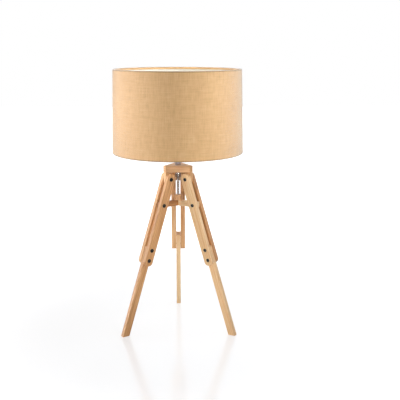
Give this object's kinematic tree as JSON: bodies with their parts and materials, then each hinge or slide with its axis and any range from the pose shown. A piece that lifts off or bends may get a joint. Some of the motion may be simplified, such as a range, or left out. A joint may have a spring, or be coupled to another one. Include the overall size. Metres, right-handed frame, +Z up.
{
  "type": "tripod table lamp",
  "caption": "Table lamp: split-leg wooden tripod with a Y spreader, a screw-in lampholder and a fabric drum shade clamped by a threaded ring.",
  "frame": {"origin": "on the surface that the lamp stands on, on the axis of the tripod and the shade", "axes": "+Z up, +Y towards the single rear leg, +X to the right as the picture shows the lamp"},
  "size_m": [0.3, 0.3024, 0.6098],
  "materials": {
    "beech": "oiled, satin",
    "light_beech": "oiled, satin",
    "black_steel": "black oxide, satin",
    "zinc_steel": "zinc plated",
    "chrome": "polished plate",
    "black_plastic": "moulded, fine texture",
    "porcelain": "glazed",
    "brass": "plain",
    "white_enamel": "powder coated, satin",
    "linen": "plain woven",
    "liner": "matt lampshade board"
  },
  "bodies": {
    "stand": {"head_block": "beech", "tongue_left": "beech", "tongue_right": "beech", "tongue_rear": "beech", "left_leg_front_cheek": "beech", "left_leg_back_cheek": "beech", "right_leg_front_cheek": "beech", "right_leg_back_cheek": "beech", "rear_leg_left_cheek": "beech", "rear_leg_right_cheek": "beech", "spreader_arm_left": "beech", "spreader_arm_right": "beech", "spreader_arm_rear": "beech", "spreader_boss": "beech", "left_pole": "light_beech", "right_pole": "light_beech", "rear_pole": "light_beech", "pivot_screws": "black_steel", "pivot_sleeve_nuts": "black_steel", "spreader_screws": "black_steel", "spreader_sleeve_nuts": "black_steel", "clamp_screws": "black_steel", "clamp_sleeve_nuts": "black_steel", "tie_rod": "zinc_steel", "coupling_nut": "zinc_steel", "head_washer": "zinc_steel", "stem_nipple": "zinc_steel", "stem_collar": "chrome", "holder_cap": "black_plastic", "cord_gland": "black_plastic", "holder_skirt": "black_plastic", "socket_insert": "porcelain", "socket_shell": "brass", "centre_contact": "brass", "terminal_screws": "brass"},
    "shade": {"fitter_collar": "white_enamel", "fitter_spokes": "white_enamel", "shade_bottom_ring": "white_enamel", "shade_top_ring": "white_enamel", "shade_liner": "liner", "shade_fabric": "linen"},
    "shade_ring": {"shade_ring": "black_plastic"}
  },
  "joints": [
    {"name": "shade_lift", "type": "slide", "parent": "stand", "child": "shade", "axis": [0, 0, 1], "range_m": [0, 0.04]},
    {"name": "ring_turn", "type": "hinge", "parent": "shade", "child": "shade_ring", "pos_m": [0, 0, 0.4453], "axis": [0, 0, 1], "continuous": true}
  ]
}
